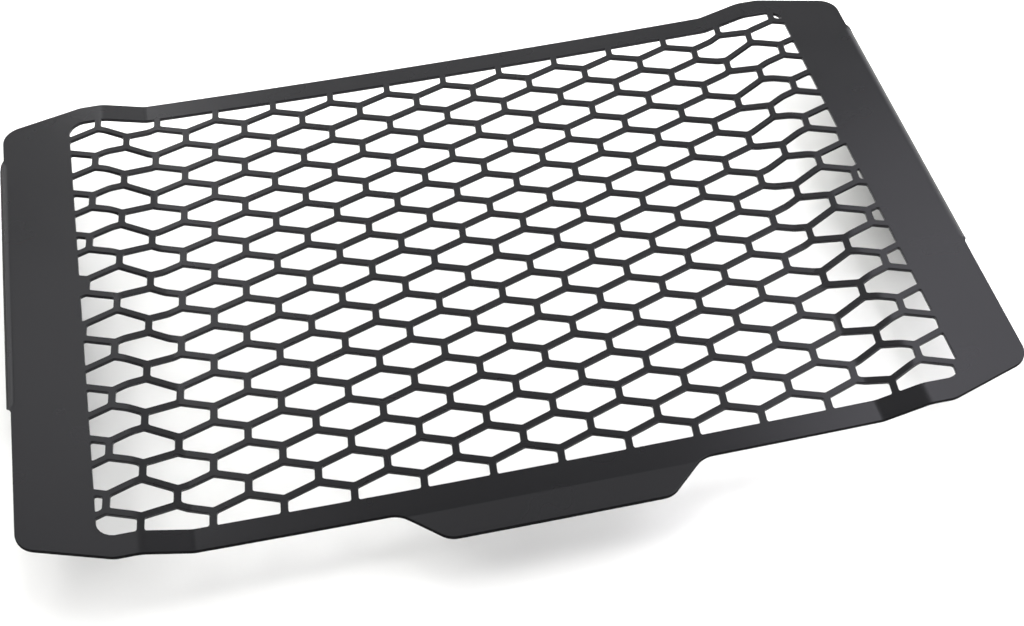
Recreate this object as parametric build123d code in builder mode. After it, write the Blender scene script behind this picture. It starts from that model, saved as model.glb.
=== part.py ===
# Motorcycle radiator guard: one laser-cut sheet, folded, that lies face up on its two side flanges.
import math
import os

from build123d import *

# Sheet and outer sizes in millimetres
sheet = 1.5
guard_width = 370.0
guard_height = 240.0
stand_height = 30.0

# Shallow joggle that lifts each wing over the panel
panel_width = 250.0
joggle_run = 17.4
joggle_rise = 5.0
joggle_bend_radius = 4.0

# Tapered wing ends
taper_width = 33.4
top_taper_drop = 8.7
bottom_taper_drop = 11.6
taper_knee_radius = 10.0
wing_corner_radius = 9.0

# Tab on the bottom edge, bent up a little
tab_shift_x = 2.0
tab_root_width = 110.0
tab_tip_width = 80.0
tab_depth = 15.0
tab_root_radius = 10.0
tab_tip_radius = 8.0
tab_fold_gap = 2.0
tab_fold_angle = 5.0
tab_bend_radius = 3.0

# Side flanges folded down from the wings' outer edges
flange_length = 140.5
flange_top_gap = 26.8
flange_stand_out = 2.3
flange_bend_radius = 1.5
flange_relief = 10.0
flange_corner_radius = 8.0

# Mesh window and its hexagon cells, laid out on the flat blank
window_width = 315.9
window_shift_x = 0.9
rim_width = 9.6
window_corner_radius = 7.0
cell_pitch = 25.06
row_pitch = 12.0
strut_width = 2.75
strut_rise = 4.75
cell_lean = 5.8
mesh_shift_x = -6.1
mesh_shift_y = 0.45
smallest_cell = 7.0

# Places that follow from the sizes
valley_x = panel_width / 2
ridge_x = valley_x + joggle_run
wing_x = guard_width / 2
knee_x = wing_x - taper_width
flange_x = wing_x + flange_stand_out
flange_bend_x = flange_x - flange_bend_radius - sheet
panel_top = stand_height - joggle_rise
top_y = (guard_height + tab_depth) / 2
bottom_y = top_y - guard_height
tip_y = bottom_y - tab_depth
middle_y = (top_y + bottom_y) / 2
fold_y = bottom_y - tab_fold_gap
flange_top_y = top_y - flange_top_gap
flange_middle_y = flange_top_y - flange_length / 2
window_height = guard_height - 2 * rim_width
joggle_length = math.hypot(joggle_run, joggle_rise)


def plan_x(blank_x):
    """Place across the folded guard of a point at blank_x on the flat blank."""
    reach = abs(blank_x)
    if reach <= valley_x:
        plan = reach
    elif reach <= valley_x + joggle_length:
        plan = valley_x + (reach - valley_x) * joggle_run / joggle_length
    else:
        plan = ridge_x + reach - valley_x - joggle_length
    return math.copysign(plan, blank_x)


def cell_corners(centre_x, centre_y):
    """Corners of one opening: a long hexagon, half a strut inside its cell, leaning with the rows."""
    slope = strut_rise / (cell_pitch / 2)
    side = (cell_pitch - strut_width) / 2
    peak = (row_pitch + strut_rise) / 2 - strut_width / 2 * math.hypot(1, slope)
    shoulder = peak - side * slope
    left = [(0, peak), (-side, shoulder), (-side, -shoulder)]
    right = [(0, -peak), (side, -shoulder), (side, shoulder)]
    lean = math.tan(math.radians(cell_lean))
    return [(plan_x(centre_x + x + lean * y), centre_y + y) for x, y in left + right]


def cell_centres():
    """Middles of all cells that can reach the window, in rows shifted by half a pitch."""
    lean = math.tan(math.radians(cell_lean))
    rows = math.ceil(window_height / 2 / row_pitch) + 1
    columns = math.ceil(window_width / 2 / cell_pitch) + 2
    centres = []
    for row in range(-rows, rows + 1):
        y = mesh_shift_y + row * row_pitch
        for column in range(-columns, columns + 1):
            x = mesh_shift_x + (column + row % 2 / 2) * cell_pitch + lean * row * row_pitch
            centres.append((x, middle_y + y))
    return centres


# One flange with its bend, on the right-hand wing
with BuildPart() as flange:
    with BuildSketch(Plane.XZ) as flange_section:
        with BuildLine():
            FilletPolyline(
                (knee_x, stand_height),
                (flange_x, stand_height),
                (flange_x, 0),
                radius=flange_bend_radius + sheet,
            )
            offset(amount=sheet, side=Side.RIGHT)
        make_face()
    extrude(amount=guard_height, both=True)
    with BuildSketch(Plane.YZ.offset(knee_x)) as flange_side:
        with BuildLine():
            half = flange_length / 2
            foot = half - flange_relief
            FilletPolyline(
                (flange_middle_y + half, stand_height),
                (flange_middle_y - half, stand_height),
                (flange_middle_y - foot, stand_height - flange_relief),
                (flange_middle_y - foot, 0),
                (flange_middle_y + foot, 0),
                (flange_middle_y + foot, stand_height - flange_relief),
                radius=[0, 0, 0, flange_corner_radius, flange_corner_radius, 0],
                close=True,
            )
        make_face()
    extrude(amount=guard_width, mode=Mode.INTERSECT)

# The folded sheet: joggled section, bottom tab, outline open at the flange bends, flanges and cells
with BuildPart() as guard_sheet:
    with BuildSketch(Plane.XZ.offset(-bottom_y)) as fold_section:
        with BuildLine():
            FilletPolyline(
                (-wing_x, stand_height),
                (-ridge_x, stand_height),
                (-valley_x, panel_top),
                (valley_x, panel_top),
                (ridge_x, stand_height),
                (wing_x, stand_height),
                radius=[
                    joggle_bend_radius + sheet,
                    joggle_bend_radius,
                    joggle_bend_radius,
                    joggle_bend_radius + sheet,
                ],
            )
            offset(amount=sheet, side=Side.RIGHT)
        make_face()
    extrude(amount=-guard_height)
    with BuildSketch(Plane.YZ.offset(tab_shift_x)) as tab_section:
        with BuildLine():
            tab_rise = (fold_y - tip_y) * math.tan(math.radians(tab_fold_angle))
            FilletPolyline(
                (middle_y, panel_top),
                (fold_y, panel_top),
                (tip_y, panel_top + tab_rise),
                radius=tab_bend_radius,
            )
            offset(amount=sheet, side=Side.LEFT)
        make_face()
    extrude(amount=tab_root_width / 2 + tab_root_radius, both=True)
    with BuildSketch() as outline:
        with BuildLine():
            right_side = [
                (knee_x, top_y),
                (wing_x, top_y - top_taper_drop),
                (wing_x, bottom_y + bottom_taper_drop),
                (knee_x, bottom_y),
            ]
            side_radii = [taper_knee_radius, wing_corner_radius, wing_corner_radius, taper_knee_radius]
            tab_edge = [
                (tab_shift_x + tab_root_width / 2, bottom_y),
                (tab_shift_x + tab_tip_width / 2, tip_y),
                (tab_shift_x - tab_tip_width / 2, tip_y),
                (tab_shift_x - tab_root_width / 2, bottom_y),
            ]
            tab_radii = [tab_root_radius, tab_tip_radius, tab_tip_radius, tab_root_radius]
            left_side = [(-x, y) for x, y in right_side[::-1]]
            FilletPolyline(
                *right_side,
                *tab_edge,
                *left_side,
                radius=side_radii + tab_radii + side_radii[::-1],
                close=True,
            )
        make_face()
        with Locations((-wing_x, flange_middle_y), (wing_x, flange_middle_y)):
            Rectangle(2 * (wing_x - flange_bend_x), flange_length, mode=Mode.SUBTRACT)
    extrude(amount=2 * stand_height, mode=Mode.INTERSECT)
    add(flange.part)
    mirror(flange.part, about=Plane.YZ)
    with BuildSketch() as openings:
        add([Polygon(*cell_corners(x, y), align=None, mode=Mode.PRIVATE) for x, y in cell_centres()])
        with Locations((window_shift_x, middle_y)):
            RectangleRounded(window_width, window_height, window_corner_radius, mode=Mode.INTERSECT)
    cells = [cell for cell in openings.faces() if cell.area > smallest_cell]
    extrude(cells, amount=2 * stand_height, mode=Mode.SUBTRACT)

guard_sheet.part.label = "guard_sheet"
os.makedirs("parts", exist_ok=True)
export_step(guard_sheet.part, "parts/guard_sheet.step")
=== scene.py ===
# %% [markdown]
# # A motorcycle radiator guard
# The guard is one sheet of metal. A laser cuts its outline and its hexagon openings from a flat blank,
# a press brake folds the blank, and a powder coat covers it all. This lesson makes it in the same
# order: the flat blank as numpy arrays, its softened cut edges, the folds, and then the coat, the light
# and the camera.

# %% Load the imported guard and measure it
import math

import bpy
import numpy as np
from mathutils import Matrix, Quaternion, Vector
from mathutils.geometry import delaunay_2d_cdt


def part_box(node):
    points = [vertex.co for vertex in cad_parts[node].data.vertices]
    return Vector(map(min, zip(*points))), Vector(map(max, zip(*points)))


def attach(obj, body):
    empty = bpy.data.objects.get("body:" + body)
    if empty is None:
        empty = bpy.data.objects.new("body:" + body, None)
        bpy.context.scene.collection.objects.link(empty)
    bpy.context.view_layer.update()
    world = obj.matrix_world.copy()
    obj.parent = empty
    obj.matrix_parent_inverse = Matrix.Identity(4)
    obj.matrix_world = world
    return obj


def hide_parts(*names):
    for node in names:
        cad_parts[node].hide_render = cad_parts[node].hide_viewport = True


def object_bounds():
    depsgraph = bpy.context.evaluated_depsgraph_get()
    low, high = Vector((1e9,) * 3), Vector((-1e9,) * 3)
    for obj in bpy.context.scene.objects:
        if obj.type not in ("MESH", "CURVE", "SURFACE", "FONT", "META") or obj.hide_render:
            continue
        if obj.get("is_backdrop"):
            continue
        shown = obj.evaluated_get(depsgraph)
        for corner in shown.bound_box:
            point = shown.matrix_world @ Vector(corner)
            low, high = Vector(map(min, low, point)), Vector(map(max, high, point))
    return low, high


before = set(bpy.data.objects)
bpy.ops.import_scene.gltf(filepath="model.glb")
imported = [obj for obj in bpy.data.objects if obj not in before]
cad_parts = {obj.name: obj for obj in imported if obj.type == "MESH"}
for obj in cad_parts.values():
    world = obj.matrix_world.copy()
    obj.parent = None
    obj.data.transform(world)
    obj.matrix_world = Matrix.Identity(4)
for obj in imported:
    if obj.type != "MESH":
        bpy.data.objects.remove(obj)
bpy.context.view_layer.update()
low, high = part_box("guard_sheet")
print("packed guard, low and high corners:", [round(v, 4) for v in (*low, *high)])

# %% [markdown]
# ## The sizes of the sheet
# A folded part is described by its sheet, its bends and its cut lines. The outer box comes from the
# packed guard, so the cut and the folds can't drift away from it. The other sizes are the ones that the
# sheet was designed with, in metres. Only the bends are softer than those of the solid, and the flanges
# a little shorter.

# %% Sizes of the sheet and its folds
MM = 0.001
sheet = 1.5 * MM
stand_height = high.z
top_y = high.y
tip_y = low.y
flange_x = high.x

flange_stand_out = 2.3 * MM
wing_x = flange_x - flange_stand_out
valley_x = 125.0 * MM
joggle_run = 17.4 * MM
joggle_rise = 5.0 * MM
ridge_x = valley_x + joggle_run
panel_top = stand_height - joggle_rise
tab_depth = 15.0 * MM
bottom_y = tip_y + tab_depth
middle_y = (top_y + bottom_y) / 2
print("panel at height", round(panel_top, 4), "and wings out to", round(wing_x, 4))

# %% [markdown]
# ## Where each fold begins on the flat blank
# A brake bends sheet round a nose, so each fold is an arc with a radius, not a crease. The blank is
# measured along its upper face, from the middle outwards: a flat panel, the valley arc, the short
# slope, the ridge arc and the flat wing. Because the slope is longer than its shadow in plan, the blank
# is a little wider than the folded guard, and that extra is the stretch.

# %% Fold lines of the joggle and the tab
joggle_angle = math.atan2(joggle_rise, joggle_run)
joggle_length = math.hypot(joggle_run, joggle_rise)
valley_radius = 8.0 * MM
ridge_radius = 14.0 * MM
valley_trim = valley_radius * math.tan(joggle_angle / 2)
ridge_trim = ridge_radius * math.tan(joggle_angle / 2)
valley_start = valley_x - valley_trim
valley_end = valley_start + valley_radius * joggle_angle
ridge_start = valley_end + joggle_length - valley_trim - ridge_trim
ridge_end = ridge_start + ridge_radius * joggle_angle
stretch = ridge_end - ridge_x - ridge_trim

panel_dish = 1.3 * MM
tab_angle = math.radians(5.0)
tab_radius = 3.0 * MM
tab_fold_gap = 2.0 * MM
tab_fold_y = bottom_y - tab_fold_gap
tab_start_y = tab_fold_y + tab_radius * math.tan(tab_angle / 2)
tab_end_y = tab_start_y - tab_radius * tab_angle
tab_tip_y = tab_fold_y - (tab_fold_y - tip_y) / math.cos(tab_angle) + sheet * math.tan(tab_angle)
print("each side of the blank is", round(stretch / MM, 3), "mm wider than the folded guard")

# %% Fold lines of the side flanges
flange_radius = 4.2 * MM
flange_setback = flange_radius - flange_stand_out
flange_half = 138.5 * MM / 2
flange_top_gap = 26.8 * MM
flange_middle_y = top_y - flange_top_gap - flange_half
flange_relief = 10.0 * MM
flange_ease = 3.5 * MM
wing_reach = wing_x + stretch
flange_arc = flange_radius * math.pi / 2
flange_reach = wing_reach - flange_setback + flange_arc + stand_height - flange_radius
relief_reach = flange_reach - stand_height + flange_relief
print("flange blank reaches", round(flange_reach, 4), "from the middle")

# %% [markdown]
# ## Loops of points
# Every cut line is a closed loop of points on the blank. All loops share one long array, and a second
# array says which loop each point belongs to. That keeps the work in whole arrays: a step that rounds
# corners or adds points treats hundreds of openings at once.

# %% Helpers for loops
largest_trim = 0.45
tiny = 1e-9


def neighbours(loop):
    """Index of the point before and after each point, going round inside its own loop."""
    first = np.searchsorted(loop, loop, "left")
    last = np.searchsorted(loop, loop, "right") - 1
    place = np.arange(len(loop))
    return np.where(place == first, last, place - 1), np.where(place == last, first, place + 1)


def round_corners(points, loop, radius, steps):
    """Replace each corner by a tangent arc: its ends lie radius / tan(half the corner's angle) along
    the two sides, but never near half a side, and its points turn evenly about the centre on the
    bisector."""
    before, after = neighbours(loop)
    to_before, to_after = points[before] - points, points[after] - points
    length_before = np.linalg.norm(to_before, axis=1, keepdims=True)
    length_after = np.linalg.norm(to_after, axis=1, keepdims=True)
    to_before, to_after = to_before / length_before, to_after / length_after
    rounded = radius > 0
    half = np.arccos(np.clip((to_before * to_after).sum(1, keepdims=True), -1, 1)) / 2
    # Any safe angle will do at a corner that stays sharp
    half = np.where(rounded[:, None], half, 1.0)
    room = largest_trim * np.minimum(length_before, length_after)
    trim = np.minimum(radius[:, None] / np.tan(half), room)
    bisector = to_before + to_after
    bisector /= np.maximum(np.linalg.norm(bisector, axis=1, keepdims=True), tiny)
    centre = points + bisector * trim / np.cos(half)
    start = (points + to_before * trim - centre)[:, None, :]
    end = (points + to_after * trim - centre)[:, None, :]
    turn = (np.pi - 2 * half)[:, None, :]
    share = np.linspace(0, 1, steps)[None, :, None]
    swing = (np.sin((1 - share) * turn) * start + np.sin(share * turn) * end) / np.sin(turn)
    arc = centre[:, None, :] + swing
    keep = rounded[:, None] | (np.arange(steps) == 0)[None, :]
    return arc[keep], np.repeat(loop, keep.sum(1))


# %% [markdown]
# ## The hexagon openings
# The mesh is a stretched honeycomb that leans a little, in rows that step by half a cell. One hexagon
# is worked out half a strut inside its cell, then added to the grid of all cell middles. The cutter
# leaves a round of about a millimetre in each corner.

# %% One rounded hexagon, repeated over the grid
cell_pitch = 25.06 * MM
row_pitch = 12.0 * MM
strut_width = 2.75 * MM
strut_rise = 4.75 * MM
lean = math.tan(math.radians(5.8))
mesh_shift = np.array([-6.1 * MM, 0.45 * MM])
cell_corner_radius = 1.2 * MM
arc_steps = 5


def all_cells(rows, columns):
    """Corners of every cell: middle of the cell plus one hexagon with its peaks above and below and its
    upright sides left and right, where x gains lean times y."""
    slope = strut_rise / (cell_pitch / 2)
    side = (cell_pitch - strut_width) / 2
    peak = (row_pitch + strut_rise) / 2 - strut_width / 2 * math.hypot(1, slope)
    shoulder = peak - side * slope
    right = [(0, peak), (side, shoulder), (side, -shoulder)]
    left = [(0, -peak), (-side, -shoulder), (-side, shoulder)]
    hexagon = np.array(right + left)
    row_numbers, column_numbers = np.arange(-rows, rows + 1), np.arange(-columns, columns + 1)
    row, column = np.meshgrid(row_numbers, column_numbers, indexing="ij")
    middles = np.stack([(column + row % 2 / 2) * cell_pitch, row * row_pitch], axis=-1)
    corners = middles.reshape(-1, 1, 2) + hexagon
    corners[..., 0] += lean * corners[..., 1]
    return corners + mesh_shift + (0, middle_y)


hexagons = all_cells(rows=11, columns=9)
cell_count, side_count = hexagons.shape[:2]
hexagon_loop = np.repeat(np.arange(cell_count), side_count)
hexagon_radius = np.full(cell_count * side_count, cell_corner_radius)
round_points = round_corners(hexagons.reshape(-1, 2), hexagon_loop, hexagon_radius, arc_steps)[0]
round_hexagons = round_points.reshape(cell_count, -1, 2)
print(cell_count, "hexagons on the grid, each with", round_hexagons.shape[1], "points")

# %% [markdown]
# ## The window
# A plain rim frames the mesh, so the openings stop at a rectangle with round corners. A rectangle with
# round corners is where many half planes overlap: one for each side, and a fan of them round each
# corner. Clipping every hexagon against one half plane after the other leaves the openings, and scraps
# too small to cut are dropped.

# %% Clip the openings to the window
window_width = 315.9 * MM
rim_width = 9.6 * MM
window_shift = 0.9 * MM
window_half = np.array([window_width / 2 + stretch, (top_y - bottom_y) / 2 - rim_width])
window_middle = np.array([window_shift, middle_y])
window_corner_radius = 7.0 * MM
smallest_cell = 6.5 * MM**2
fan_steps = 6


def clip_convex(polygons, normal, reach):
    """Keep the part of each convex polygon with normal . point <= reach: every side gives its crossing
    with that line, if it has one, and its end, if that lies inside. Short lists repeat their last
    point."""
    ends = np.roll(polygons, -1, axis=1)
    outside, end_outside = polygons @ normal - reach, ends @ normal - reach
    crosses = (outside > 0) != (end_outside > 0)
    share = outside / np.where(crosses, outside - end_outside, 1)
    crossing = polygons + np.where(crosses, share, 0)[..., None] * (ends - polygons)
    points = np.stack([crossing, ends], axis=2).reshape(len(polygons), -1, 2)
    keep = np.stack([crosses, end_outside <= 0], axis=2).reshape(len(polygons), -1)
    count = keep.sum(1)
    slots = np.minimum(np.arange(count.max()), np.maximum(count - 1, 0)[:, None])
    order = np.take_along_axis(np.argsort(~keep, axis=1, kind="stable"), slots, axis=1)
    return np.take_along_axis(points, order[..., None], axis=1)[count > 2]


def areas(polygons):
    """Area of each polygon: half the sum of the cross products of neighbouring points."""
    x, y = polygons[..., 0], polygons[..., 1]
    return np.abs((x * np.roll(y, -1, 1) - y * np.roll(x, -1, 1)).sum(1)) / 2


openings = round_hexagons - window_middle
fan = np.linspace(0, math.pi / 2, fan_steps, endpoint=False)
for corner in range(4):
    for angle in corner * math.pi / 2 + fan:
        facing = np.array([math.cos(angle), math.sin(angle)])
        corner_reach = np.abs(facing) @ (window_half - window_corner_radius) + window_corner_radius
        openings = clip_convex(openings, facing, corner_reach)
openings = openings[areas(openings) > smallest_cell] + window_middle
print(len(openings), "openings, open area", round(areas(openings).sum() / MM**2), "square millimetres")

# %% [markdown]
# ## The outline
# The outline runs round tapered wing ends, the tab on the bottom edge and the two side flanges, which
# lie flat on the blank beside the wings. Only the corners are listed, with their radii. The left side
# mirrors the right one, and the tab sits a little to one side. The outline goes anticlockwise and the
# openings clockwise, so the metal is always on the left of the path.

# %% The outline of the blank
taper_width = 33.4 * MM
top_drop = 8.7 * MM
bottom_drop = 11.6 * MM
knee_reach = wing_reach - taper_width
knee_radius = 10.0 * MM
wing_corner_radius = 9.0 * MM
flange_foot_half = flange_half - flange_relief
flange_corner_radius = 8.0 * MM
relief_radius = 2.5 * MM
outline_steps = 9
right_side = np.array([
    (knee_reach, bottom_y, knee_radius),
    (wing_reach, bottom_y + bottom_drop, wing_corner_radius),
    (wing_reach, flange_middle_y - flange_half, relief_radius),
    (relief_reach, flange_middle_y - flange_foot_half, relief_radius),
    (flange_reach, flange_middle_y - flange_foot_half, flange_corner_radius),
    (flange_reach, flange_middle_y + flange_foot_half, flange_corner_radius),
    (relief_reach, flange_middle_y + flange_foot_half, relief_radius),
    (wing_reach, flange_middle_y + flange_half, relief_radius),
    (wing_reach, top_y - top_drop, wing_corner_radius),
    (knee_reach, top_y, knee_radius),
])
left_side = right_side[::-1] * (-1, 1, 1)
tab_middle = 2.0 * MM
tab_root_half = 55.0 * MM
tab_tip_half = 40.0 * MM
tab_root_radius = 10.0 * MM
tab_tip_radius = 8.0 * MM
tab_side = np.array([
    (tab_middle - tab_root_half, bottom_y, tab_root_radius),
    (tab_middle - tab_tip_half, tab_tip_y, tab_tip_radius),
    (tab_middle + tab_tip_half, tab_tip_y, tab_tip_radius),
    (tab_middle + tab_root_half, bottom_y, tab_root_radius),
])
corners = np.concatenate([right_side, left_side, tab_side])
one_loop = np.zeros(len(corners), int)
outline, outline_loop = round_corners(corners[:, :2], one_loop, corners[:, 2], outline_steps)
print("outline of", len(outline), "points from", len(corners), "corners")

# %% Join all loops, with the clipped corners a little rounded
cut_corner_radius = 0.6 * MM
sharp_turn = math.radians(25)
cut_steps = 3
same_point = 1e-7


def flat_loops(polygons):
    """All polygons as one list of points with loop numbers, without the repeated points."""
    fresh = np.linalg.norm(polygons - np.roll(polygons, 1, axis=1), axis=2) > same_point
    return polygons[fresh], np.repeat(np.arange(len(polygons)), fresh.sum(1))


def turn_angles(points, loop):
    """Angle by which the path turns at each point."""
    before, after = neighbours(loop)
    coming, going = points - points[before], points[after] - points
    cross = coming[:, 0] * going[:, 1] - coming[:, 1] * going[:, 0]
    return np.abs(np.arctan2(cross, (coming * going).sum(1)))


cut_points, cut_loop = flat_loops(openings)
cut_radius = np.where(turn_angles(cut_points, cut_loop) > sharp_turn, cut_corner_radius, 0)
cut_points, cut_loop = round_corners(cut_points, cut_loop, cut_radius, cut_steps)
points = np.concatenate([outline, cut_points])
loop = np.concatenate([outline_loop, cut_loop + 1])
print(len(points), "points in", loop[-1] + 1, "loops")

# %% [markdown]
# ## Softened cut edges
# Powder melts and flows over a cut edge, so the edge of the real sheet is slightly round and catches a
# fine line of light. The flat face therefore ends a little before the cut: each loop is moved into the
# metal by the radius of that round, along the normal of the path.

# %% Move the loops in to the border of the flat face
edge_radius = 0.28 * MM


def outward_normals(points, loop):
    """Unit vector to the right of the path, away from the metal: the step from the point before to the
    point after, turned by a quarter."""
    before, after = neighbours(loop)
    along = points[after] - points[before]
    outward = np.stack([along[:, 1], -along[:, 0]], axis=1)
    return outward / np.linalg.norm(outward, axis=1, keepdims=True)


points = points - edge_radius * outward_normals(points, loop)
print("flat face ends", round(edge_radius / MM, 2), "mm inside the cut")

# %% [markdown]
# ## Points on the fold lines
# A flat face can only bend where it has points. Each arc of a fold gets a few lines across the sheet:
# wherever a loop crosses one of them, a point is added, and the metal between two crossings becomes an
# edge. Sorted along the line, the crossings alternate between entering and leaving the metal, so they
# pair up by themselves.

# %% Add points where the loops cross the folds
joggle_line_count = 4
flange_line_count = 10
dish_line_count = 20
no_fold = -1
valley_lines = np.linspace(valley_start, valley_end, joggle_line_count)
ridge_lines = np.linspace(ridge_start, ridge_end, joggle_line_count)
flange_lines = wing_reach - flange_setback + np.linspace(0, flange_arc, flange_line_count)
upright_lines = np.concatenate([valley_lines, ridge_lines, flange_lines])
fold_lines = [(0, place) for place in np.concatenate([-upright_lines, upright_lines])]
fold_lines += [(1, tab_start_y), (1, tab_end_y)]
dish_lines = np.linspace(-valley_start, valley_start, dish_line_count + 2)[1:-1]


def add_crossings(points, loop, mark, axis, place, number):
    """Add a marked point on each side that crosses the line where coordinate axis equals place."""
    after = neighbours(loop)[1]
    gap, next_gap = points[:, axis] - place, points[after, axis] - place
    side = np.flatnonzero((gap > 0) != (next_gap > 0))
    share = (gap[side] / (gap[side] - next_gap[side]))[:, None]
    crossing = points[side] + share * (points[after[side]] - points[side])
    points = np.insert(points, side + 1, crossing, axis=0)
    return points, np.insert(loop, side + 1, loop[side]), np.insert(mark, side + 1, number)


mark = np.full(len(points), no_fold)
for number, (axis, place) in enumerate(fold_lines):
    points, loop, mark = add_crossings(points, loop, mark, axis, place, number)
for place in dish_lines:
    points, loop, mark = add_crossings(points, loop, mark, 0, place, no_fold)
fold_edges = []
for number, (axis, _) in enumerate(fold_lines):
    crossings = np.flatnonzero(mark == number)
    fold_edges.append(crossings[np.argsort(points[crossings, 1 - axis])].reshape(-1, 2))
fold_edges = np.concatenate(fold_edges)
print((mark != no_fold).sum(), "points added on", len(fold_lines), "fold lines")

# %% [markdown]
# ## The edge profile
# A profile is carried along every loop: a quarter arc at the upper edge, the straight wall, and a
# quarter arc at the lower edge. Two numbers give a point: its place along the loop and its step in the
# profile.

# %% Carry the edge profile along every loop
quarter = np.radians([90, 45, 0])
tilt = np.concatenate([quarter, -quarter[::-1]])
profile_reach = edge_radius * np.cos(tilt)
upper_half = edge_radius * (np.sin(quarter) - 1)
profile_height = np.concatenate([upper_half, -sheet - upper_half[::-1]])


def edge_bands(points, loop):
    """Point and normal at (loop point, profile step): the loop point moved out of the metal by the
    reach, at the profile's height, with the normal tilted from straight up, through level, to straight
    down."""
    outward = outward_normals(points, loop)[:, None, :]
    flat = points[:, None, :] + outward * profile_reach[None, :, None]
    level = np.repeat(profile_height[None, :, None], len(points), axis=0)
    upright = np.repeat(np.sin(tilt)[None, :, None], len(points), axis=0)
    normal = np.concatenate([outward * np.cos(tilt)[None, :, None], upright], axis=2)
    return np.concatenate([flat, level], axis=2), normal


bands, band_normals = edge_bands(points, loop)
print("edge bands:", bands.shape[0], "points by", bands.shape[1], "profile steps")

# %% [markdown]
# ## The two faces
# Between the cut edges the sheet is flat, so its face can be any set of triangles that uses the loops
# as edges. A triangulation with fixed edges gives that, and says which triangles lie inside the
# outline. It also fills the openings, but an opening is convex, so a triangle with all three corners on
# one opening's loop must lie inside it and is thrown away. The bend of each flange needs points of its
# own between its ends, on a small grid.

# %% Grid points on the bends of the flanges
end_gaps = np.array([0.1, 0.5, 0.9, 1.3, 1.8, 3.0, 5.0, 8.0]) * MM
middle_rows = 11
edge_room = 0.6 * MM
ends_grid = flange_half - end_gaps
middle_grid = np.linspace(-1, 1, middle_rows + 2)[1:-1] * ends_grid[-1]
length_grid = np.concatenate([-ends_grid, middle_grid, ends_grid])
grid_x, grid_y = np.meshgrid(flange_lines, length_grid)
past_edge = grid_x - wing_reach
in_metal = flange_half - np.abs(grid_y) > np.where(past_edge > 0, past_edge + edge_room, 0)
right_grid = np.stack([grid_x[in_metal], flange_middle_y + grid_y[in_metal]], axis=1)
inner_points = np.concatenate([right_grid, right_grid * (-1, 1)])
print(len(inner_points), "grid points on the bends of both flanges")

# %% Triangulate the upper face
face_points = np.concatenate([points, inner_points])
loop_edges = np.stack([np.arange(len(loop)), neighbours(loop)[1]], axis=1)
face_edges = np.concatenate([loop_edges, fold_edges])
scaled = [Vector(p) for p in face_points / MM]
border = np.flatnonzero(loop == 0).tolist()
inside_triangles = 1
merge_distance = 1e-6
filled = delaunay_2d_cdt(scaled, face_edges.tolist(), [border], inside_triangles, merge_distance, True)
filled_points, _, filled_triangles, _, _, sources = filled
triangles = np.array(filled_triangles)
in_outline = np.array([len(source) > 0 for source in sources])
corner_loop = np.concatenate([loop, -1 - np.arange(len(inner_points))])[triangles]
in_opening = (corner_loop[:, 0] > 0) & (corner_loop == corner_loop[:, :1]).all(1)
triangles = triangles[in_outline & ~in_opening]
print(len(filled_points), "face points of", len(face_points), "and", len(triangles), "triangles")

# %% [markdown]
# ## Folding
# Folding is one formula used four times. Up to the fold line nothing changes. Over the arc, a point
# turns about the centre of the bend at its own distance from it. Beyond the arc, the sheet goes on
# straight, turned by the whole angle. Working from the outermost fold inwards, each fold carries
# everything outside it along, as a press brake does.

# %% The fold formula


def fold(along, height, normal_along, normal_height, start, radius, angle, way):
    """Bend the sheet at start: turn = the length past start divided by the radius of the upper face, at
    most the angle; a point lies radius - way * height from the centre, and what is past the arc follows
    the tangent. way is 1 for a fold upwards and -1 for one downwards. The normal turns by the same
    angle."""
    turn = np.clip((along - start) / radius, 0, angle)
    past = np.maximum(along - start - radius * angle, 0)
    arm = radius - way * height
    folded_along = start + arm * np.sin(turn) + past * np.cos(turn)
    folded_height = way * (radius - arm * np.cos(turn) + past * np.sin(turn))
    unbent = along < start
    return (
        np.where(unbent, along, folded_along),
        np.where(unbent, height, folded_height),
        normal_along * np.cos(turn) - way * normal_height * np.sin(turn),
        normal_height * np.cos(turn) + way * normal_along * np.sin(turn),
    )


# %% Fold the whole blank


def fold_guard(blank, normal):
    """Blank points (x, y, height) to the folded guard: tab up, flanges down, ridges down, valleys up.
    The left side is folded as the mirror of the right. Near its ends a flange's bend eases into the
    wing's plain edge. Last, the panel between the valleys sinks by the dish times one less the square
    of the distance from the middle."""
    side = np.where(blank[:, 0] < 0, -1.0, 1.0)
    x, y, z = blank[:, 0] * side, blank[:, 1], blank[:, 2]
    nx, ny, nz = normal[:, 0] * side, normal[:, 1], normal[:, 2]
    back, z, nback, nz = fold(-y, z, -ny, nz, -tab_start_y, tab_radius, tab_angle, 1)
    y, ny = -back, -nback
    inside = np.clip((flange_half - np.abs(y - flange_middle_y)) / flange_ease, 0, 1)
    setback = flange_setback * inside * inside * (3 - 2 * inside)
    in_flange = np.abs(y - flange_middle_y) <= flange_half
    past_sheet = 2 * flange_reach
    bend_start = np.where(in_flange, wing_reach - setback, past_sheet)
    x, z, nx, nz = fold(x, z, nx, nz, bend_start, flange_stand_out + setback, math.pi / 2, -1)
    x, z, nx, nz = fold(x, z, nx, nz, ridge_start, ridge_radius, joggle_angle, -1)
    x, z, nx, nz = fold(x, z, nx, nz, valley_start, valley_radius, joggle_angle, 1)
    share = np.clip(x / valley_x, 0, 1)
    z = z + panel_top - panel_dish * (1 - share**2)
    nx = nx - nz * 2 * panel_dish * share / valley_x * (share < 1)
    return np.stack([x * side, y, z], axis=1), np.stack([nx * side, ny, nz], axis=1)


def inner_layer(height, way):
    """The grid points of the flange bends at one face, with the normal up or down."""
    level = np.full((len(inner_points), 1), height)
    straight = np.tile([0.0, 0.0, way], (len(inner_points), 1))
    return np.concatenate([inner_points, level], axis=1), straight


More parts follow.
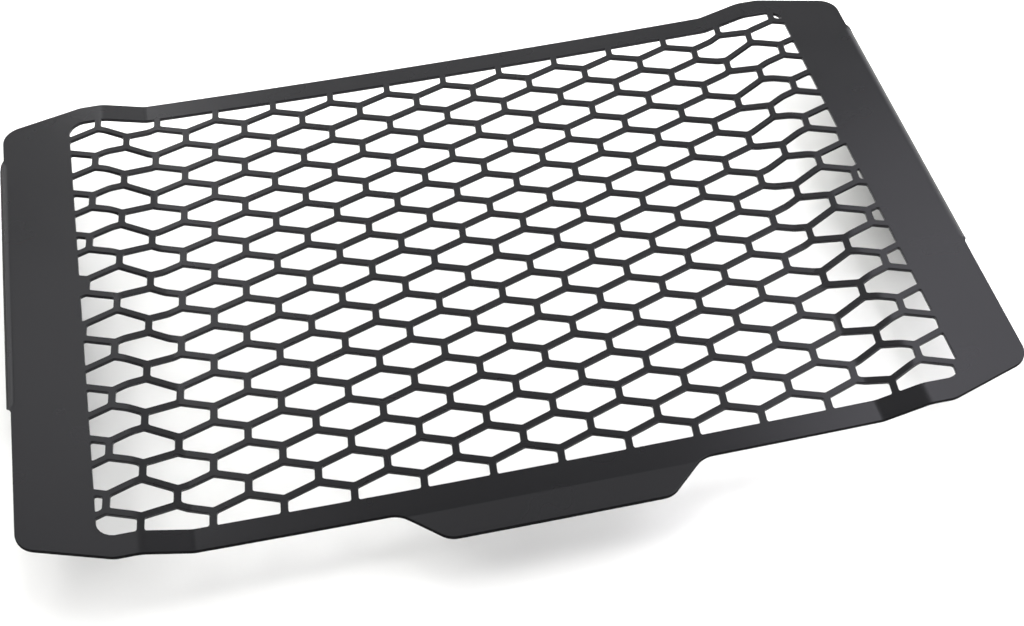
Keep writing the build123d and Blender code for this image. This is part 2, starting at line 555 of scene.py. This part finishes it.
upper_layer, upper_normal = inner_layer(0.0, 1.0)
lower_layer, lower_normal = inner_layer(-sheet, -1.0)
blank_points = np.concatenate([bands.reshape(-1, 3), upper_layer, lower_layer])
blank_normals = np.concatenate([band_normals.reshape(-1, 3), upper_normal, lower_normal])
vertices, normals = fold_guard(blank_points, blank_normals)
print("folded box:", vertices.min(0).round(5), vertices.max(0).round(5))

# %% [markdown]
# ## From arrays to a mesh
# The faces are the triangles above, the same triangles turned over below, and four-sided faces along
# the edge bands. Every edge then has a face on each side, so the skin is closed, and its volume can be
# compared with that of the solid. The normals come from the formula too: the flat faces stay flat in
# the light, and only the arcs are shaded round.

# %% Build the mesh object
steps = len(tilt)
base = len(loop) * steps


def face_corners(corner, step, layer):
    """Vertex numbers of face points: profile step of a loop point, or a grid point in its layer."""
    grid = base + layer * len(inner_points) + corner - len(loop)
    return np.where(corner < len(loop), corner * steps + step, grid)


def band_faces(loop):
    """Quads between each loop point and the next, and each profile step and the one below it."""
    here = (np.arange(len(loop)) * steps)[:, None] + np.arange(steps - 1)[None, :]
    there = (neighbours(loop)[1] * steps)[:, None] + np.arange(steps - 1)[None, :]
    return np.stack([here, here + 1, there + 1, there], axis=-1).reshape(-1, 4)


def mesh_object(name, vertices, normals, faces):
    """New object at the origin with smooth faces and the given normal at each vertex."""
    mesh = bpy.data.meshes.new(name)
    mesh.from_pydata(vertices, [], faces)
    mesh.polygons.foreach_set("use_smooth", np.ones(len(mesh.polygons), bool))
    mesh.normals_split_custom_set_from_vertices(normals)
    made = bpy.data.objects.new(name, mesh)
    bpy.context.scene.collection.objects.link(made)
    return made


upper = face_corners(triangles, 0, 0)
lower = face_corners(triangles[:, ::-1], steps - 1, 1)
quads = band_faces(loop)
guard = mesh_object("folded_guard", vertices, normals, upper.tolist() + lower.tolist() + quads.tolist())
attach(guard, "root")
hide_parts("guard_sheet")
print("folded guard:", len(guard.data.vertices), "vertices and", len(guard.data.polygons), "faces")

# %% Check that the skin is closed, and its volume
split = np.concatenate([upper, lower, quads[:, :3], quads[:, [0, 2, 3]]])
sides = np.concatenate([split[:, [0, 1]], split[:, [1, 2]], split[:, [2, 0]]])
uses = np.unique(np.sort(sides, axis=1), axis=0, return_counts=True)[1]
first, second, third = vertices[split[:, 0]], vertices[split[:, 1]], vertices[split[:, 2]]
volume = np.einsum("ij,ij->i", first, np.cross(second, third)).sum() / 6
print("edges with two faces:", (uses == 2).sum(), "of", len(uses))
print("volume", round(volume / MM**3), "cubic millimetres")

# %% [markdown]
# ## Powder coat
# The coat is a satin black that has flowed out into a faint orange peel, with a fine grain on top. Both
# are bump from noise in object space, at their real scale. The colour and the gloss drift a little over
# the sheet, as they do with the thickness of the coat.

# %% Nodes that the coats share


def noise(tree, place, scale, detail, rough):
    """Noise texture on object coordinates, in cycles for each metre."""
    node = tree.nodes.new("ShaderNodeTexNoise")
    node.inputs["Scale"].default_value = scale
    node.inputs["Detail"].default_value = detail
    node.inputs["Roughness"].default_value = rough
    tree.links.new(place, node.inputs["Vector"])
    return node.outputs["Fac"]


def spread(tree, value, low, high):
    """The middle of a noise, from 0.3 to 0.7, spread from low to high."""
    node = tree.nodes.new("ShaderNodeMapRange")
    node.inputs["From Min"].default_value = 0.3
    node.inputs["From Max"].default_value = 0.7
    node.inputs["To Min"].default_value = low
    node.inputs["To Max"].default_value = high
    tree.links.new(value, node.inputs["Value"])
    return node.outputs["Result"]


def bump(tree, height, distance, strength, normal=None):
    """Bump of that height in metres over the normal that it is given."""
    node = tree.nodes.new("ShaderNodeBump")
    node.inputs["Distance"].default_value = distance
    node.inputs["Strength"].default_value = strength
    tree.links.new(height, node.inputs["Height"])
    if normal is not None:
        tree.links.new(normal, node.inputs["Normal"])
    return node.outputs["Normal"]


def new_coat(name, mirror):
    """A coat's material, tree, shader and object coordinates. mirror sets how strongly it reflects."""
    material = bpy.data.materials.new(name)
    material.use_nodes = True
    tree = material.node_tree
    shader = tree.nodes["Principled BSDF"]
    shader.inputs["Specular IOR Level"].default_value = mirror
    return material, tree, shader, tree.nodes.new("ShaderNodeTexCoord").outputs["Object"]


def tone(tree, shader, pattern, dark, light):
    """Base colour that goes from dark to light with the middle of the pattern."""
    node = tree.nodes.new("ShaderNodeMix")
    node.data_type = "RGBA"
    node.inputs["A"].default_value = dark
    node.inputs["B"].default_value = light
    tree.links.new(spread(tree, pattern, 0.0, 1.0), node.inputs["Factor"])
    tree.links.new(node.outputs["Result"], shader.inputs["Base Color"])


# %% The powder coat


def powder_coat():
    """Satin charcoal coat: drifting colour and gloss, orange peel about 2 mm wide and a finer grain."""
    material, tree, shader, place = new_coat("powder_coat", mirror=0.28)
    drift = noise(tree, place, scale=14.0, detail=2.0, rough=0.5)
    gloss = noise(tree, place, scale=45.0, detail=2.0, rough=0.5)
    peel = noise(tree, place, scale=520.0, detail=2.0, rough=0.5)
    grain = noise(tree, place, scale=2600.0, detail=2.0, rough=0.6)
    tone(tree, shader, drift, dark=(0.0026, 0.0027, 0.0030, 1), light=(0.0036, 0.0037, 0.0041, 1))
    tree.links.new(spread(tree, gloss, low=0.27, high=0.29), shader.inputs["Roughness"])
    peeled = bump(tree, peel, distance=0.012 * MM, strength=0.5)
    grained = bump(tree, grain, distance=0.005 * MM, strength=0.5, normal=peeled)
    tree.links.new(grained, shader.inputs["Normal"])
    shader.inputs["Specular Tint"].default_value = (0.95, 0.94, 1, 1)
    return material


guard.data.materials.append(powder_coat())
print("coat on", guard.name)

# %% [markdown]
# ## Painted shade on the cut edges and flanges
# The cut wall round the outline gets a nearly black, dull coat beside the satin face. This is painted
# shade on walls that face the front, where the white floor would otherwise light them. The outer sides
# of the flanges get a dark, dull coat too, though not as dark, which is painted shade on their bends.
# Both are further materials on the same mesh, chosen face by face: the outline's edge bands take the
# first, except the uppermost band, which still belongs to the face, and the flanges take the second
# from nearly halfway round their bends. The walls of the small openings keep the full coat.

# %% The painted shade coats


def painted_shade_coat(name, smooth, dull, mirror):
    """Nearly black coat that is painted shade, with a grain about half a millimetre wide, which takes
    the tone from dark to less dark and the roughness from smooth to dull."""
    material, tree, shader, place = new_coat(name, mirror)
    grain = noise(tree, place, scale=2000.0, detail=2.0, rough=0.6)
    tone(tree, shader, grain, dark=(0.0018, 0.0018, 0.0020, 1), light=(0.0030, 0.0030, 0.0033, 1))
    tree.links.new(spread(tree, grain, low=smooth, high=dull), shader.inputs["Roughness"])
    tree.links.new(bump(tree, grain, distance=0.006 * MM, strength=0.5), shader.inputs["Normal"])
    return material


# Painted shade: a nearly black, dull coat on the cut wall round the outline
guard.data.materials.append(painted_shade_coat("cut_edge_painted_shade", smooth=0.55, dull=0.7, mirror=0.06))
# Painted shade: a dark, dull coat on the outer sides and bends of the flanges
guard.data.materials.append(painted_shade_coat("flange_painted_shade", smooth=0.48, dull=0.58, mirror=0.1))
shade_line = 4
hair = 0.01 * MM
shade_reach = flange_lines[shade_line] - hair
# Faces of the flanges past the shade line take the painted shade
flange_shade_faces = (np.abs(face_points[triangles, 0]) > shade_reach).all(1)
# Edge-band faces of the outline, all but the uppermost, take the painted shade
cut_edge_shade_faces = ((loop == 0)[:, None] & (np.arange(steps - 1) > 0)).ravel()
cut_shade_slot, flange_shade_slot = 1, 2
under_slot = np.zeros(len(lower), int)
face_material = np.concatenate([flange_shade_slot * flange_shade_faces, under_slot, cut_shade_slot * cut_edge_shade_faces])
guard.data.polygons.foreach_set("material_index", face_material)
print(cut_edge_shade_faces.sum(), "faces on the cut edges and", flange_shade_faces.sum(), "on the flanges are dull")

# %% [markdown]
# ## Floor and light
# The guard lies on a wide white floor under plain soft lights. A satin coat shows each light as a broad
# patch with soft borders, so the lights hang where the coat should be lighter: a large one over the
# right, large ones behind, and smaller ones over the left wing and the mesh, with a dark ceiling
# between them. The ones on the right are a little lilac. Under those alone the floor would be uneven,
# so the rest fill it in, out to its far sides, without showing in the coat. All of them are level
# rectangles, given by their edges.

# %% The floor


def white_floor(half):
    """A flat square, half its width each way, at the height on which the guard lies."""
    corners = [(-half, -half, 0), (half, -half, 0), (half, half, 0), (-half, half, 0)]
    mesh = bpy.data.meshes.new("floor")
    mesh.from_pydata(corners, [], [(0, 1, 2, 3)])
    made = bpy.data.objects.new("floor", mesh)
    bpy.context.scene.collection.objects.link(made)
    material = bpy.data.materials.new("white_floor")
    material.use_nodes = True
    shader = material.node_tree.nodes["Principled BSDF"]
    shader.inputs["Base Color"].default_value = (0.9, 0.9, 0.88, 1)
    shader.inputs["Roughness"].default_value = 0.9
    shader.inputs["Specular IOR Level"].default_value = 0.1
    mesh.materials.append(material)
    return made


floor = white_floor(half=3.0)
floor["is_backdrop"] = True
print("floor", round(floor.dimensions.x, 1), "m wide")

# %% The lights


def softbox(name, left, right, front, back, height, brightness, mirrored=True, colour=(1, 1, 1)):
    """A level rectangular light that shines straight down. Its power is pi times its brightness times
    its area. One that isn't mirrored lights the floor without showing in the coat."""
    data = bpy.data.lights.new(name, "AREA")
    data.shape = "RECTANGLE"
    data.size = right - left
    data.size_y = back - front
    data.energy = math.pi * brightness * data.size * data.size_y
    data.color = colour
    light = bpy.data.objects.new(name, data)
    light.location = ((left + right) / 2, (front + back) / 2, height)
    light.visible_camera = False
    light.visible_glossy = mirrored
    bpy.context.scene.collection.objects.link(light)
    return light


lilac = (0.96, 0.95, 1.0)
ceiling = 0.45
floor_edge = 0.2
# Name, then the left, right, front and back edges, the height and the brightness
softbox("right_light", 0.32, 1.17, -0.93, 0.48, ceiling, 2.45, colour=lilac)
softbox("right_strip", 0.22, 0.32, -0.93, 0.30, ceiling, 4.15, colour=lilac)
softbox("right_strip_end", 0.22, 0.32, 0.30, 0.48, ceiling, 0.75, colour=lilac)
softbox("back_right_light", 0.76, 2.0, 0.48, 2.0, ceiling, 1.9, colour=lilac)
softbox("back_light", -0.3, 0.76, 0.85, 2.1, ceiling, 3.6)
softbox("back_left_light", -2.0, -0.3, 0.61, 2.1, ceiling, 1.5)
softbox("back_strip", -0.21, -0.15, 0.67, 1.40, ceiling, 9.0)
softbox("middle_strip", -0.16, -0.08, 0.25, 0.67, ceiling, 1.92)
softbox("middle_light", -0.08, 0.22, 0.22, 0.65, ceiling, 0.75)
softbox("left_light", -0.35, -0.13, 0.18, 0.57, 0.51, 1.66)
softbox("far_left_light", -0.8, -0.42, 0.3, 0.61, ceiling, 2.3)
softbox("floor_back_light", -0.5, 0.5, 0.5, 1.5, 1.2, 1.68, mirrored=False)
softbox("floor_left_light", -1.5, -0.5, -0.5, 0.5, 1.2, 2.86, mirrored=False)
softbox("floor_top_light", -0.15, 0.15, -0.15, 0.15, 0.6, 3.25, mirrored=False)
softbox("floor_far_light", -1.5, 1.5, 1.5, 3.0, 0.6, 12.73, mirrored=False)
softbox("floor_front_light", -3.0, 3.0, -3.0, -1.2, floor_edge, 1.15, mirrored=False)
softbox("floor_right_side_light", 1.5, 3.0, -1.2, 3.0, floor_edge, 1.15, mirrored=False)
softbox("floor_left_side_light", -3.0, -1.5, -1.2, 3.0, floor_edge, 1.15, mirrored=False)

# %% The dim light from all sides


def even_world(strength):
    """World that is equally bright in every direction."""
    world = bpy.data.worlds.new("studio")
    world.use_nodes = True
    background = world.node_tree.nodes["Background"]
    background.inputs["Color"].default_value = (1, 1, 1, 1)
    background.inputs["Strength"].default_value = strength
    bpy.context.scene.world = world


dim = 0.38
even_world(dim)
bpy.context.scene.view_settings.view_transform = "Standard"
print("brightness from all sides:", dim)

# %% [markdown]
# ## The camera
# The guard is seen from in front and above, a little to the left, with a slight roll. The camera stands
# at the eye point, looks at a point on the panel and turns about its own axis by the roll.

# %% The camera
eye = Vector((-0.0770, -0.4842, 0.5287))
aim = Vector((0.0050, -0.0294, panel_top))
roll = math.radians(-2.547)
focal_length_px = 1775.3
image_width_px = 1024

camera_data = bpy.data.cameras.new("camera")
camera_data.sensor_fit = "HORIZONTAL"
camera_data.lens = focal_length_px / image_width_px * camera_data.sensor_width
camera = bpy.data.objects.new("camera", camera_data)
camera.location = eye
camera.rotation_mode = "QUATERNION"
camera.rotation_quaternion = (aim - eye).to_track_quat("-Z", "Y") @ Quaternion((0, 0, 1), roll)
bpy.context.scene.collection.objects.link(camera)
bpy.context.scene.camera = camera
print("camera right:", [round(v, 4) for v in camera.rotation_quaternion @ Vector((1, 0, 0))])

# %% [markdown]
# ## The box of the finished guard
# The box of the finished guard is printed here; the box of the imported one was printed at the start.
# The finished guard has to stay inside the box of the imported one.

# %% Print the box of the finished guard
low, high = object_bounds()
print("visual box:", [round(v, 5) for v in (*low, *high)])
